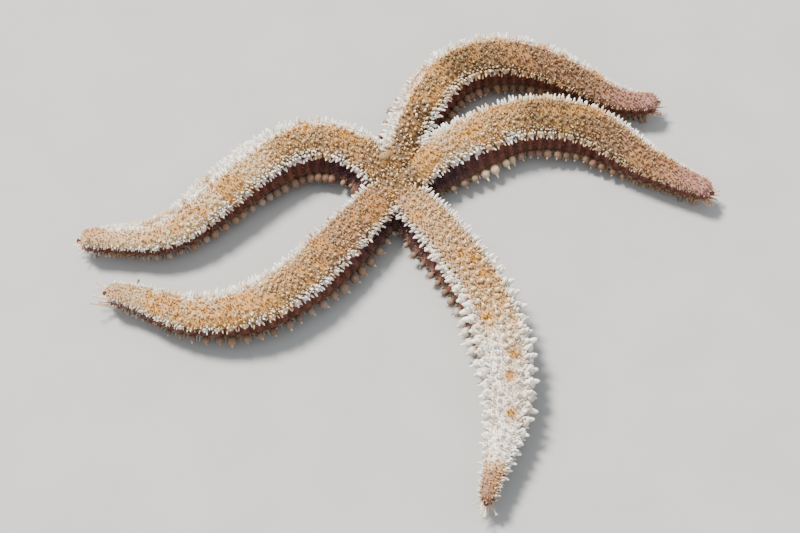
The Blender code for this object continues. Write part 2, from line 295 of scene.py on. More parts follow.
def between(value, start, full, fading, end, amount=1.0):
    """0, a rise to the amount from start to full, and back to 0 from fading to end."""
    return amount * smooth(value, start, full) * (1 - smooth(value, fading, end))


def only(which, *arrays):
    """The same rows of several arrays."""
    return [array[which] for array in arrays]


def unit(vectors):
    """The same directions at length 1."""
    return vectors / np.maximum(np.linalg.norm(vectors, axis=-1, keepdims=True), 1e-12)


def rounded(points, steps=6):
    """A smooth line through the points."""
    points = np.array(points)
    full = np.vstack([points[1] * (-1, 1), points, points[-2] * (-1, 1)])
    share = np.linspace(0, 1, steps, endpoint=False)[:, None]
    line = [0.5 * (2 * b + (c - a) * share + (2 * a - 5 * b + 4 * c - d) * share ** 2
                   + (3 * b - a - 3 * c + d) * share ** 3)
            for a, b, c, d in zip(full, full[1:], full[2:], full[3:])]
    return np.vstack([*line, points[-1:]])


SECTION = rounded(HALF_SECTION)
_steps = np.linalg.norm(np.diff(SECTION * (HALF_WIDTH, HEIGHT), axis=0), axis=1)
SECTION_ARC = np.append(0.0, np.cumsum(_steps)) / _steps.sum()


def around_of(across, level):
    """How far round the section a place lies: 0 mid-back, 1 at the roof of the groove."""
    found = np.empty(len(across))
    for start in range(0, len(across), 20000):
        part = slice(start, start + 20000)
        gap = (np.abs(across[part, None]) - SECTION[:, 0]) ** 2
        gap += (level[part, None] - SECTION[:, 1]) ** 2
        found[part] = SECTION_ARC[gap.argmin(axis=1)]
    return found


AROUND_UPPER, AROUND_LOWER = around_of(*np.array([UPPER_ROW, LOWER_ROW]).T)


def search_tree(points):
    """A tree that finds the nearest of the points."""
    tree = KDTree(len(points))
    for index, point in enumerate(points):
        tree.insert(point, index)
    tree.balance()
    return tree


class Arm:
    """One arm's centre line, section and plates."""

    STEPS = 600

    def __init__(self, letter, plate):
        self.letter = letter
        self.length, headings = ARMS[letter]
        edges = np.linspace(0, 1, self.STEPS + 1)
        middles = (edges[1:] + edges[:-1]) / 2
        angles = np.radians(np.interp(middles, np.linspace(0, 1, len(headings)), headings))
        step = self.length / self.STEPS
        self.places = edges * self.length
        self.x = DISC_CENTRE[0] + np.append(0.0, np.cumsum(np.cos(angles)) * step)
        self.y = DISC_CENTRE[1] + np.append(0.0, np.cumsum(np.sin(angles)) * step)
        self.angles = np.append(angles, angles[-1])
        pitch = plate * (1.1 if letter == LETTERS[LARGE] else 1.0)
        pitch = pitch * (0.45 + 0.55 * self.half_width(self.places) / HALF_WIDTH)
        pitch = pitch * (1.2 - 0.2 * smooth(edges, 0.15, 0.45))
        self.plates = np.append(0.0, np.cumsum(step / pitch[1:]))

    def ahead(self, along):
        """The level direction towards the tip."""
        angle = np.interp(along, self.places, self.angles)
        return np.stack([np.cos(angle), np.sin(angle), np.zeros_like(angle)], axis=-1)

    def side(self, along):
        """The level direction to the left of the arm."""
        ahead = self.ahead(along)
        return np.stack([-ahead[..., 1], ahead[..., 0], ahead[..., 2]], axis=-1)

    def taper(self, along, root, tip):
        """What the waist at the root and the taper to the tip leave of a size."""
        t = along / self.length
        return (1 - root * np.clip((0.5 - t) / 0.5, 0, 1) ** 2
                - tip * np.clip((t - 0.5) / 0.5, 0, 1) ** 1.6)

    def half_width(self, along):
        """Half the width at the widest level."""
        return HALF_WIDTH * self.taper(along, 0.2, NARROWING.get(self.letter, USUAL_NARROWING))

    def height(self, along):
        """The back's height above the lowest level, which is sunk a little over the mouth."""
        sunk = 1.0 * MM * np.exp(-(along / (6 * MM)) ** 2)
        return HEIGHT * self.taper(along, 0.12, 0.54) - sunk

    def lift(self, along):
        """How far the tip is raised off the floor."""
        return 3 * MM * np.clip((along / self.length - 0.76) / 0.24, 0, 1) ** 2

    def lean(self, along):
        """How far the section leans over to the left for each metre of height."""
        most, *shares = LEAN[self.letter]
        return between(along / self.length, *shares, most)

    def spread(self, along, level):
        """Half the width at a level: the foot flares near the disc and draws in near the tip."""
        most, *shares = FLARE[self.letter]
        t = along / self.length
        flare = between(t, 0.04, 0.12, *shares, most) - 0.27 * smooth(t, 0.52, 0.74)
        return self.half_width(along) * (1 + flare * (1 - smooth(level, 0.15, 0.68)))

    def place(self, along, across, level):
        """Points at a distance along, and at shares of the half width and the height."""
        along, across, level = np.broadcast_arrays(np.asarray(along, float), across, level)
        x = np.interp(along, self.places, self.x)
        y = np.interp(along, self.places, self.y)
        tall = level * self.height(along)
        sideways = across * self.spread(along, level) + self.lean(along) * tall
        point = np.stack([x, y, self.lift(along) + tall], axis=-1)
        return point + self.side(along) * sideways[..., None]


class Body:
    """All five arms, and where any point lies on them.

    Places on the body have columns: arm number, distance along, share across, level, signed share
    around, and how deep in a valley between two arms.
    """

    def __init__(self, plate):
        self.arms = [Arm(letter, plate) for letter in LETTERS]
        self.trees = [search_tree([(x, y, 0.0) for x, y in zip(arm.x, arm.y)])
                      for arm in self.arms]

    def nearest(self, points):
        """The number of the arm on which each point lies."""
        return self.gaps(points).argmin(axis=0)

    def gaps(self, points):
        """How far each point is from each arm's centre line."""
        return np.array([[tree.find((x, y, 0.0))[2] for x, y, _ in points] for tree in self.trees])

    def on_arm(self, points, number):
        """Distance along one arm, share across, level, and signed share around."""
        arm, tree = self.arms[number], self.trees[number]
        index = np.array([tree.find((x, y, 0.0))[1] for x, y, _ in points], int)
        along = arm.places[index]
        offset = points[:, :2] - np.stack([arm.x[index], arm.y[index]], axis=1)
        along = np.clip(along + (offset * arm.ahead(along)[:, :2]).sum(1), 0, arm.length)
        tall = points[:, 2] - arm.lift(along)
        level = tall / arm.height(along)
        sideways = (offset * arm.side(along)[:, :2]).sum(1) - arm.lean(along) * tall
        across = sideways / arm.spread(along, level)
        return along, across, level, around_of(across, level) * np.where(sideways < 0, -1, 1)

    def locate(self, points, number=None):
        """Places of points on their nearest arm, or on the arm of that number."""
        gaps = self.gaps(points)
        found = np.zeros((len(points), 6))
        found[:, ARM] = gaps.argmin(axis=0) if number is None else number
        for arm in range(len(self.arms)):
            mine = found[:, ARM] == arm
            if mine.any():
                found[mine, ALONG:VALLEY] = np.stack(self.on_arm(points[mine], arm), axis=1)
        first, second = np.sort(gaps, axis=0)[:2]
        out = np.linalg.norm(points[:, :2] - DISC_CENTRE, axis=1)
        found[:, VALLEY] = between(out, 2 * MM, 7 * MM, 18 * MM, 26 * MM,
                              1 - smooth(second - first, 0, 2.6 * MM))
        return found


def share_along(found):
    """Places' share of their arm's length."""
    return found[:, ALONG] / LENGTHS[found[:, ARM].astype(int)]


def bake_place(found):
    """Where a place falls on the unwrapped skin: one strip for each arm, laid out flat."""
    v = (found[:, ARM] + 0.5 + 0.46 * found[:, AROUND]) / len(LETTERS)
    return np.stack([0.01 + 0.98 * share_along(found), v], axis=1)


def size_on_arm(found, more=0.12):
    """How large spines are: full on most of an arm, small at its end, and so much more on arm A."""
    along = share_along(found)
    large = between(along, 0.15, 0.40, 0.75, 0.95, more)
    large = np.where(found[:, ARM] == LARGE, 1 + large, 1.0)
    return large * (1 - 0.5 * smooth(along, 0.70, 1.0)) * (1 - 0.12 * smooth(0.16 - along, 0, 0.16))


def patches(points, size, seed):
    """Smooth random shares over space that change over about a size."""
    lattice = np.random.default_rng(seed).uniform(size=(32, 32, 32))
    place = points / size + 500.5
    cell = np.floor(place).astype(int)
    part = place - cell
    part = part * part * (3 - 2 * part)
    total = np.zeros(len(points))
    for corner in np.ndindex(2, 2, 2):
        i, j, k = ((cell + corner) % 32).T
        total += np.where(corner, part, 1 - part).prod(axis=1) * lattice[i, j, k]
    return total


def marks_of(body, points, found):
    """What the markings read at each point."""
    along = share_along(found)

    def shade(table):
        total = np.zeros(len(points))
        for letter, start, full, fading, end, amount, *side in table:
            share = between(along, start, full, fading, end, amount)
            share = share * (found[:, ARM] == LETTERS.index(letter))
            for edge in side:
                share = share * smooth(np.sign(edge) * found[:, AROUND] - abs(edge), -0.06, 0.06)
            total = total + share * (1 - total if side else 1)
        return total

    mottle = 0.6 * patches(points, 5.5 * MM, 3) + 0.4 * patches(points, 2.2 * MM, 4)
    ochre = 0.92 * smooth(mottle, 0.50, 0.64) * (1 - 0.7 * (found[:, ARM] == LARGE))
    for letter, distance, across in SPOTS:
        arm = body.arms[LETTERS.index(letter)]
        level = np.interp(abs(across), *SECTION[:BACK_POINTS].T)
        gap = np.linalg.norm(points - arm.place(distance * MM, across, level), axis=1)
        ochre = np.maximum(ochre, 1.2 * np.exp(-(gap / (2.3 * MM)) ** 2))
    around = np.abs(found[:, AROUND])
    bare = np.array(list(BARE.values()))[found[:, ARM].astype(int)] * MM
    bare = 1 - smooth(found[:, ALONG], 0.65 * bare, 1.35 * bare)
    bare *= 0.55 + 0.45 * smooth(found[:, ALONG], 8 * MM, 18 * MM)    # less on the disc
    ochre = ochre * (1 - 0.7 * bare)
    # Painted shade on the lower rows below the upper fringe.
    lower_shade = shade(LOWER_ROW_SHADE) * smooth(around, AROUND_UPPER + 0.05, AROUND_LOWER - 0.02)
    return {"root": points, "along": along, "around": around, "tint_and_light": shade(TINTS_AND_LIGHT), "lower_shade": lower_shade,
            "ochre": np.minimum(ochre, 1.0), "valley": found[:, VALLEY], "rosy": shade(ROSY),
            "bare": bare}


# ---------------------------------------------------------------- meshes

def placed(name, data):
    """A new object in the scene."""
    item = bpy.data.objects.new(name, data)
    bpy.context.scene.collection.objects.link(item)
    return item


def fill(layer, name, values, kind=np.float32):
    """Set one value of everything in a layer of a mesh."""
    layer.foreach_set(name, np.ascontiguousarray(values, kind).ravel())


def mesh_object(name, points, corners, starts, material):
    """An object with smooth faces, from flat arrays of points and face corners."""
    mesh = bpy.data.meshes.new(name)
    mesh.vertices.add(len(points))
    fill(mesh.vertices, "co", points)
    mesh.loops.add(len(corners))
    fill(mesh.loops, "vertex_index", corners, np.int32)
    mesh.polygons.add(len(starts))
    fill(mesh.polygons, "loop_start", starts, np.int32)
    mesh.update(calc_edges=True)
    fill(mesh.polygons, "use_smooth", np.ones(len(starts)), bool)
    mesh.materials.append(material)
    return placed(name, mesh)


def set_values(item, values):
    """Store numbers or vectors on an object's points."""
    for name, data in values.items():
        kind, label = ("FLOAT", "value") if data.ndim == 1 else ("FLOAT_VECTOR", "vector")
        fill(item.data.attributes.new(name, kind, "POINT").data, label, data)


def set_bake_map(item, places):
    """Give an object its bake map from one place for each face corner."""
    fill(item.data.uv_layers.new(name="OFBake").data, "uv", places)


def grow(kind, roots, found, rng, towards, lengths, radii, bend=0.0, letter=None):
    """Make one piece of many small closed bodies of revolution, rooted in the skin.

    A bend pushes their tips over. The letter is that of the arm, where each has its own piece.
    """
    profile, sides, material, lobes, depth = GROWTHS[kind]
    count, rings = len(roots), len(profile)
    towards = unit(towards)
    lengths, radii = (np.broadcast_to(size, count)[:, None] for size in (lengths, radii))
    bend = np.broadcast_to(bend, (count, 3))
    level, width = np.array(profile).T
    across = unit(np.cross(towards, rng.normal(size=(count, 3))))
    third = np.cross(towards, across)
    spin = rng.uniform(0, 2 * math.pi, count)
    turn = 2 * math.pi * np.arange(sides) / sides
    swell = 1 + depth * np.cos(lobes * turn + math.pi * (np.arange(rings)[:, None] % 2))
    wide = radii[..., None] * (width[:, None] * swell)
    angle = turn + spin[:, None, None]
    part = level[None, :, None, None]
    points = ((roots - towards * ROOT_DEPTH)[:, None, None]
              + towards[:, None, None] * (lengths + ROOT_DEPTH)[..., None, None] * part)
    points = points + across[:, None, None] * (np.cos(angle) * wide)[..., None]
    points = points + third[:, None, None] * (np.sin(angle) * wide)[..., None]
    points = points + bend[:, None, None] * part ** 2
    tips = roots + towards * lengths + bend
    points = np.concatenate([points.reshape(count, rings * sides, 3), tips[:, None]], axis=1)
    points[..., 2] = np.maximum(points[..., 2], 0.0)
    points, corners, starts, patch = tile(points, rings, sides, level)
    item = mesh_object(f"{kind}_{letter}" if letter else kind, points, corners, starts,
                       flesh_material(material))
    spots = np.repeat(bake_place(found), len(patch), axis=0)
    set_bake_map(item, spots + PATCH * (np.tile(patch, (count, 1)) - 0.5))
    values = marks_of(layout["body"], roots, found)
    values["tone"] = rng.uniform(size=count)
    each = rings * sides + 1
    set_values(item, {key: np.repeat(data, each, axis=0) for key, data in values.items()})
    set_values(item, {"reach": np.tile(np.append(np.repeat(level, sides), 1.0), count)})
    settle(item)


def bands(rings, sides):
    """Four-cornered faces between rings of so many points."""
    return [[ring * sides + side, ring * sides + (side + 1) % sides,
             (ring + 1) * sides + (side + 1) % sides, (ring + 1) * sides + side]
            for ring in range(rings - 1) for side in range(sides)]


def flattened(faces):
    """The faces' corners in one row, and where in it each face starts."""
    return np.concatenate(faces), np.cumsum([0] + [len(face) for face in faces[:-1]])


def tile(points, rings, sides, level):
    """Corners and face starts of many like bodies, and one body's own small patch map."""
    count, each = points.shape[:2]
    last, around = (rings - 1) * sides, range(sides)
    faces = bands(rings, sides) + [[last + side, last + (side + 1) % sides, each - 1]
                                   for side in around]
    corners, starts = flattened(faces + [list(around)[::-1]])
    patch = [((side + right) / sides, level[ring + up]) for ring in range(rings - 1)
             for side in around for right, up in ((0, 0), (1, 0), (1, 1), (0, 1))]
    patch += [((side + right) / sides, up) for side in around
              for right, up in ((0, level[-1]), (1, level[-1]), (0.5, 1.0))]
    patch += [(side / sides, 0.0) for side in around][::-1]
    many = (corners + each * np.arange(count)[:, None]).ravel()
    firsts = (starts + len(corners) * np.arange(count)[:, None]).ravel()
    return points.reshape(-1, 3), many, firsts, np.array(patch)


def triangles(item):
    """The number of triangles in an object's mesh."""
    return sum(len(face.vertices) - 2 for face in item.data.polygons)


# ---------------------------------------------------------------- materials

def connect(tree, made, inputs):
    """Set or link a node's inputs."""
    for key, value in inputs.items():
        if isinstance(value, bpy.types.NodeSocket):
            tree.links.new(value, made.inputs[key])
        else:
            full = made.inputs[key].type == "RGBA"
            made.inputs[key].default_value = (*value, 1.0) if full else value


def node(tree, kind, inputs=None, **settings):
    """Add a node, and set or link its inputs."""
    made = tree.nodes.new(kind)
    for key, value in settings.items():
        setattr(made, key, value)
    connect(tree, made, inputs or {})
    return made


def mix(tree, factor, first, second, blend="MIX"):
    """Blend two colours."""
    made = node(tree, "ShaderNodeMix", {0: factor, 6: first, 7: second},
                data_type="RGBA", blend_type=blend)
    return made.outputs[2]


def rise(tree, value, low, high, to_low=0.0, to_high=1.0):
    """A smooth step of a value."""
    made = node(tree, "ShaderNodeMapRange",
                {"Value": value, "From Min": low, "From Max": high, "To Min": to_low,
                 "To Max": to_high}, interpolation_type="SMOOTHSTEP")
    return made.outputs["Result"]


def maths(tree, operation, first, second=0.0):
    """Arithmetic on two values."""
    return node(tree, "ShaderNodeMath", {0: first, 1: second}, operation=operation).outputs[0]


def times(tree, first, second):
    """The product of two values."""
    return maths(tree, "MULTIPLY", first, second)


def noise(tree, place, scale, detail=2.0, roughness=0.5):
    """Noise over a place, as a value."""
    return node(tree, "ShaderNodeTexNoise", {"Vector": place, "Scale": scale, "Detail": detail,
                                             "Roughness": roughness}).outputs["Fac"]


def tinted(tree, shown, value):
    """A colour made darker or lighter by a value."""
    tint = node(tree, "ShaderNodeCombineColor", {"Red": value, "Green": value, "Blue": value})
    return mix(tree, 1.0, shown, tint.outputs[0], "MULTIPLY")


def new_group(name, inputs, outputs):
    """A shader node group with named sockets. Returns its tree, its inputs and its output node."""
    tree = bpy.data.node_groups.new(name, "ShaderNodeTree")
    for way, sockets in (("INPUT", inputs), ("OUTPUT", outputs)):
        for label, kind in sockets:
            tree.interface.new_socket(label, in_out=way, socket_type=f"NodeSocket{kind}")
    return tree, tree.nodes.new("NodeGroupInput").outputs, tree.nodes.new("NodeGroupOutput").inputs


MARKS = ("Along", "Around", "Tint_and_light", "Ochre", "Valley", "Rosy", "Lower_shade", "Bare")
# Materials of skin and of what grows on it: the marking mixed into the skin's own, its share at
# the root and at the tip, between which shares of the length that changes, the grain's scale,
# dryness and depth, how wet it is, and its glow.
FLESH_KINDS = {
    "Skin": ("Papula", 0.0, 0.0, 0.0, 1.0, 900.0, 0.5, 0.12 * MM, 0.03, 0.12),
    "Spine": ("Spine", 0.10, 1.0, 0.10, 0.65, 2200.0, 0.5, 0.03 * MM, 0.0, 0.12),
    "Collar": ("Papula", 0.10, 0.65, 0.10, 0.90, 1800.0, 0.5, 0.06 * MM, 0.0, 0.12),
    "Cushion": ("Cushion", 0.25, 1.0, 0.05, 0.50, 1800.0, 0.5, 0.08 * MM, 0.0, 0.12),
    "Papula": ("Papula", 0.15, 0.95, 0.10, 0.90, 1500.0, 0.38, 0.02 * MM, 0.06, 0.30),
    "Tube foot": ("Spine", 0.75, 1.0, 0.40, 0.95, 1500.0, 0.35, 0.03 * MM, 0.06, 0.35),
}


def markings_group():
    """Colours at a root: of the skin, and of the tips of spines and of papulae there, with painted
    highlights and painted shade among them.
    """
    made = bpy.data.node_groups.get("Starfish markings")
    if made:
        return made
    colours = bpy.context.scene.starfish_colours
    tree, given, out = new_group(
        "Starfish markings", [("Place", "Vector"), *((label, "Float") for label in MARKS)],
        [(label, "Color") for label in ("Skin", "Spine", "Papula", "Cushion")])
    place, along, around, tint_and_light, ochre, valley, rosy, lower_shade, bare = given[:9]
    blend, step, by = (partial(make, tree) for make in (mix, rise, times))
    # The ground: tan with ochre flecks and brown specks, with painted shade in the valleys between
    # the arms, and dark where it's bare.
    fleck = step(noise(tree, place, 620.0), 0.48, 0.70)
    speck = step(noise(tree, place, 1500.0, 1.0), 0.52, 0.66)
    skin = blend(by(fleck, 0.6), colours.tan, colours.ochre)
    skin = blend(by(speck, 0.35), skin, colours.brown)
    # Paler stretches are partly the arms' own colour and partly painted highlights on sunlit edges
    # and on A's outer half; browner ones are the arms' own colour, except for the painted shade on
    # B's base.
    browner, paler = step(tint_and_light, -1.0, 0.0, 1.0, 0.0), step(tint_and_light, 0.0, 1.0)
    # Painted shade in the valleys, and the dark bare ground.
    dark = maths(tree, "MAXIMUM", by(bare, 0.88), by(valley, 0.9))
    dark = maths(tree, "MAXIMUM", dark, by(browner, 0.38))
    dark = by(dark, step(paler, 0.0, 0.5, 1.0, 0.35))
    skin = blend(dark, skin, colours.brown)
    light = blend(step(paler, 0.52, 0.84), colours.cream, colours.white)
    skin = blend(by(paler, 0.8), skin, light)
    skin = blend(by(ochre, step(browner, 0.0, 1.0, 0.85, 0.5)), skin, colours.ochre)
    dimmer = step(browner, 0.0, 1.0, 1.0, 0.42)
    # Spines: cream on the back and white along the edges, duller where it's browner.
    brownish = by(browner, step(along, 0.36, 0.62, 0.15, 0.8))
    edge = step(around, AROUND_UPPER - 0.12, AROUND_UPPER - 0.03)
    edge = by(edge, maths(tree, "SUBTRACT", 1.0, brownish))
    spine = blend(maths(tree, "MAXIMUM", edge, by(bare, 0.35)), colours.cream, colours.white)
    spine = blend(step(paler, 0.0, 0.6), spine, colours.white)
    dull = by(browner, step(edge, 0.0, 1.0, 0.45, 0.15))
    spine = tinted(tree, blend(dull, spine, colours.golden),
                   step(edge, 0.0, 1.0, step(dimmer, 0.0, 1.0, 0.45, 1.0), 1.0))
    spine = blend(by(ochre, 0.75), spine, colours.golden)
    # Papulae: golden, and darker, paler or more ochre with the skin.
    papula = blend(by(dark, 0.85), colours.golden, colours.earth)
    papula = blend(by(paler, 0.9), papula, light)
    papula = blend(by(edge, 0.7), papula, colours.white)
    papula = blend(by(ochre, step(browner, 0.0, 1.0, 0.8, 0.3)), papula, colours.ochre)
    papula = tinted(tree, papula, dimmer)
    # Pink stretches.
    skin = blend(rosy, skin, colours.tip)
    papula = blend(by(rosy, 0.7), papula, colours.tip)
    spine = blend(by(rosy, 0.35), spine, colours.tip)
    # The walls between the two rows, their dark reddish brown partly their own colour and partly
    # painted shade, with a darker painted shade at the arms' roots; and the underside, with that
    # painted shade under the roots.
    wall = by(step(around, AROUND_UPPER, AROUND_UPPER + 0.05),
              step(around, AROUND_LOWER, AROUND_LOWER + 0.10, 1.0, 0.0))
    side = blend(step(along, 0.10, 0.34), colours.root_wall_shade, colours.wall)
    side = blend(by(step(around, AROUND_LOWER - 0.10, AROUND_LOWER), 0.35), side, colours.tan)
    side = blend(by(fleck, 0.15), side, colours.tip)
    skin = blend(wall, skin, side)
    papula = blend(by(wall, 0.85), papula, side)
    # Painted shade on the underside near the arms' roots.
    corner = by(step(along, 0.15, 0.22, 1.0, 0.0), step(along, 0.07, 0.10))
    skin = blend(step(around, AROUND_LOWER, AROUND_LOWER + 0.10), skin,
                 blend(corner, colours.under, colours.root_wall_shade))
    # Cushions, and what grows on them, in painted shade: a little everywhere, more where the lower
    # rows lie in shadow.
    cushion = blend(step(lower_shade, 0.0, 1.0, 0.35, 1.0), spine, colours.cushion)
    spine = blend(by(lower_shade, 0.7), spine, colours.cushion)
    # The strongest ochre spots.
    spot = step(ochre, 0.93, 0.99)
    skin, papula = (blend(by(spot, 0.9), shown, colours.amber) for shown in (skin, papula))
    spine = blend(by(spot, 0.6), spine, colours.amber)
    for shown, socket in zip((skin, spine, papula, cushion), out):
        tree.links.new(shown, socket)
    return tree


def grain_group():
    """Fine relief and roughness of wet skin."""
    made = bpy.data.node_groups.get("Wet grain")
    if made:
        return made
    tree, given, out = new_group("Wet grain",
                                 [("Place", "Vector"), ("Scale", "Float"), ("Dry", "Float")],
                                 [("Height", "Float"), ("Roughness", "Float")])
    coarse = noise(tree, given["Place"], given["Scale"], 3.0, 0.6)
    fine = noise(tree, given["Place"], times(tree, given["Scale"], 3.1))
    tree.links.new(maths(tree, "ADD", coarse, times(tree, fine, 0.45)), out["Height"])
    spread = times(tree, maths(tree, "SUBTRACT", fine, 0.5), 0.5)
    tree.links.new(maths(tree, "ADD", given["Dry"], spread), out["Roughness"])
    return tree


def shader_material(name):
    """An empty material. Returns it, its tree and its shader."""
    made = bpy.data.materials.new(name)
    made.use_nodes = True
    return made, made.node_tree, made.node_tree.nodes["Principled BSDF"]


def attribute(tree, name, output="Fac"):
    """A value stored on the mesh."""
    return node(tree, "ShaderNodeAttribute", attribute_name=name).outputs[output]


def finished(tree, shader, shown, scale, dry, relief, wet, glow):
    """Give a shader its colour with the grain of wet skin, its gloss and its glow."""
    place = node(tree, "ShaderNodeTexCoord").outputs["Object"]
    grain = node(tree, "ShaderNodeGroup", node_tree=grain_group())
    connect(tree, grain, {"Place": place, "Scale": scale, "Dry": dry})
    mottle = rise(tree, grain.outputs["Height"], 0.45, 0.95, 0.84, 1.10)
    bump = node(tree, "ShaderNodeBump", {"Strength": 0.6, "Distance": relief,
                                         "Height": grain.outputs["Height"]})
    connect(tree, shader, {
        "Base Color": tinted(tree, shown, mottle), "Roughness": grain.outputs["Roughness"],
        "Normal": bump.outputs[0], "Subsurface Weight": glow,
        "Subsurface Radius": (1.0, 0.45, 0.25), "Subsurface Scale": 0.9 * MM,
        "Coat Weight": wet, "Coat Roughness": 0.2, "Specular IOR Level": 0.10})


def flesh_material(name):
    """A material of skin, or of what grows on it, by its row in the table."""
    made = bpy.data.materials.get(name)
    if made:
        return made
    far, at_root, at_tip, start, end, *finish = FLESH_KINDS[name]
    made, tree, shader = shader_material(name)
    marks = node(tree, "ShaderNodeGroup", node_tree=markings_group())
    connect(tree, marks, {"Place": attribute(tree, "root", "Vector"),
                          **{label: attribute(tree, label.lower()) for label in MARKS}})
    reach = rise(tree, attribute(tree, "reach"), start, end, at_root, at_tip)
    shown = mix(tree, reach, marks.outputs["Skin"], marks.outputs[far])
    # Random lightness of each growth, and on the skin the painted shade between the walls' plates and
    # painted highlight on them.
    shade = rise(tree, attribute(tree, "tone"), 0.0, 1.0, 0.78, 1.12)
    finished(tree, shader, tinted(tree, shown, shade), *finish)
    return made


def button_material(name, main, dark, scale, dry):
    """A material for an eyespot or the madreporite, with painted shade in its hollows."""
    made, tree, shader = shader_material(name)
    shown = mix(tree, attribute(tree, "relief"), dark, main)
    finished(tree, shader, shown, scale, dry, 0.03 * MM, 0.06, 0.15)
    return made


# ---------------------------------------------------------------- the skin

layout = {}    # what the skin's operator lays out and the others grow on


def arm_tube(arm):
    """Points and faces of one arm's closed sweep, with a round end."""
    finish, ending = arm.length - 0.6 * MM, 2.4 * MM
    run = np.arange(5 * MM, finish - ending, 0.8 * MM)
    last = finish - ending + ending * np.sin(np.linspace(0, math.pi / 2 * 0.985, 9))
    along = np.concatenate([run, last])
    blunt = np.sqrt(1 - np.clip((along - finish + ending) / ending, 0, 1) ** 2)
    loop = np.vstack([SECTION, SECTION[-2:0:-1] * (-1, 1)])
    across = loop[None, :, 0] * blunt[:, None]
    level = 0.45 + (loop[None, :, 1] - 0.45) * blunt[:, None]
    points = arm.place(along[:, None], across, level)
    rings, size = points.shape[:2]
    last = (rings - 1) * size
    ends = [list(range(size))[::-1], list(range(last, last + size))]
    return points.reshape(-1, 3), bands(rings, size) + ends


def disc_core(sides=72):
    """Points and faces of the disc below the arms' roots, with the mouth's hollow."""
    points, faces, rings = [], [], []
    headings = np.array([headings[0] for _, headings in ARMS.values()])
    for under, between in zip(UNDER_ARMS, BETWEEN_ARMS):
        turns = 360 * np.arange(sides if under[0] else 1) / sides
        rings.append(range(len(points), len(points) + len(turns)))
        gap = np.abs((turns[:, None] - headings + 180) % 360 - 180).min(axis=1)
        radius, level = np.outer(under, 1 - smooth(gap, 15, 26)) + np.outer(between,
                                                                         smooth(gap, 15, 26))
        x = DISC_CENTRE[0] + radius * MM * np.cos(np.radians(turns))
        y = DISC_CENTRE[1] + radius * MM * np.sin(np.radians(turns))
        points += np.stack([x, y, level * MM], axis=1).tolist()
    for first, second in zip(rings, rings[1:]):
        for side in range(sides):
            after = (side + 1) % sides
            corners = [first[side % len(first)], second[side % len(second)],
                       second[after % len(second)], first[after % len(first)]]
            faces.append(list(dict.fromkeys(corners)))
    return np.array(points), faces


def joined_skin(body, voxel):
    """One closed surface round the disc and all arms: points and four-cornered faces."""
    points, faces = disc_core()
    for arm in body.arms:
        more, sides = arm_tube(arm)
        faces += [[corner + len(points) for corner in side] for side in sides]
        points = np.vstack([points, more])
    mesh = bpy.data.meshes.new("rough skin")
    mesh.from_pydata(points.tolist(), [], faces)
    item = placed("rough skin", mesh)
    remesh = item.modifiers.new("one surface", "REMESH")
    remesh.mode = "VOXEL"
    remesh.voxel_size = voxel
    bpy.context.view_layer.update()
    made = bpy.data.meshes.new_from_object(item.evaluated_get(
        bpy.context.evaluated_depsgraph_get()))
    bpy.data.objects.remove(item)
    points = np.empty(len(made.vertices) * 3)
    made.vertices.foreach_get("co", points)
    corners = np.empty(len(made.loops), int)
    made.loops.foreach_get("vertex_index", corners)
    return points.reshape(-1, 3), corners.reshape(-1, 4)


def summed(where, vectors, count):
    """The sum of the vectors that belong to each of so many points."""
    return np.stack([np.bincount(where, vectors[:, axis], count) for axis in range(3)], axis=1)


def relaxed(points, faces, rounds=10):
    """Smooth a surface without shrinking it: a step in and a slightly longer one out, by turns."""
    ends = np.vstack([faces[:, [0, 1]], faces[:, [1, 2]], faces[:, [2, 3]], faces[:, [3, 0]]])
    first, second = ends.T
    count = np.bincount(first, minlength=len(points))[:, None]
    for turn in range(2 * rounds):
        total = summed(first, points[second], len(points))
        points = points + RELAXING[turn % 2] * (total / count - points)
    return points


def facing(points, faces):
    """The faces' outward directions, twice as long as their areas."""
    corner = points[faces]
    return np.cross(corner[:, 2] - corner[:, 0], corner[:, 3] - corner[:, 1])


def normals_of(points, faces):
    """Outward directions at the points."""
    flat = facing(points, faces)
    return unit(summed(faces.ravel(), np.repeat(flat, 4, axis=0), len(points)))


class Surface:
    """The skin as something to grow on."""

    def __init__(self, points, faces):
        self.points, self.faces = points, faces
        self.normals = normals_of(points, faces)
        self.tree = BVHTree.FromPolygons(points.tolist(), faces.tolist())

    def onto(self, places):
        """The nearest points of the surface, their outward directions, and how far they were."""
        found = [self.tree.find_nearest(place) for place in places]
        return tuple(np.array([hit[column] for hit in found]) for column in (0, 1, 3))

    def scatter(self, rng, count):
        """Random places on the surface."""
        size = np.linalg.norm(facing(self.points, self.faces), axis=1)
        picked = rng.choice(len(size), count, p=size / size.sum())
        u, v = rng.uniform(size=(2, count, 1))
        part = self.points[self.faces[picked]]
        spots = ((part[:, 0] * (1 - u) + part[:, 1] * u) * (1 - v)
                 + (part[:, 3] * (1 - u) + part[:, 2] * u) * v)
        return spots, unit(self.normals[self.faces[picked]].mean(1))


def spaced(places, gaps, taken=(), taken_gap=0.0):
    """Indexes of places that keep their gaps from one another and from taken places."""
    cell = float(np.max(gaps))
    cells = {}
    for place in taken:
        cells.setdefault(tuple((place // cell).astype(int)), []).append((place, taken_gap))
    kept = []
    near = [(i, j, k) for i in (-1, 0, 1) for j in (-1, 0, 1) for k in (-1, 0, 1)]
    for index, (place, gap) in enumerate(zip(places, gaps)):
        x, y, z = (place // cell).astype(int)
        clear = True
        for i, j, k in near:
            for other, their in cells.get((x + i, y + j, z + k), ()):
                step = place - other
                least = their or gap
                if step[0] * step[0] + step[1] * step[1] + step[2] * step[2] < least * least:
                    clear = False
                    break
            if not clear:
                break
        if clear:
            cells.setdefault((x, y, z), []).append((place, 0.0))
            kept.append(index)
    return np.array(kept, int)


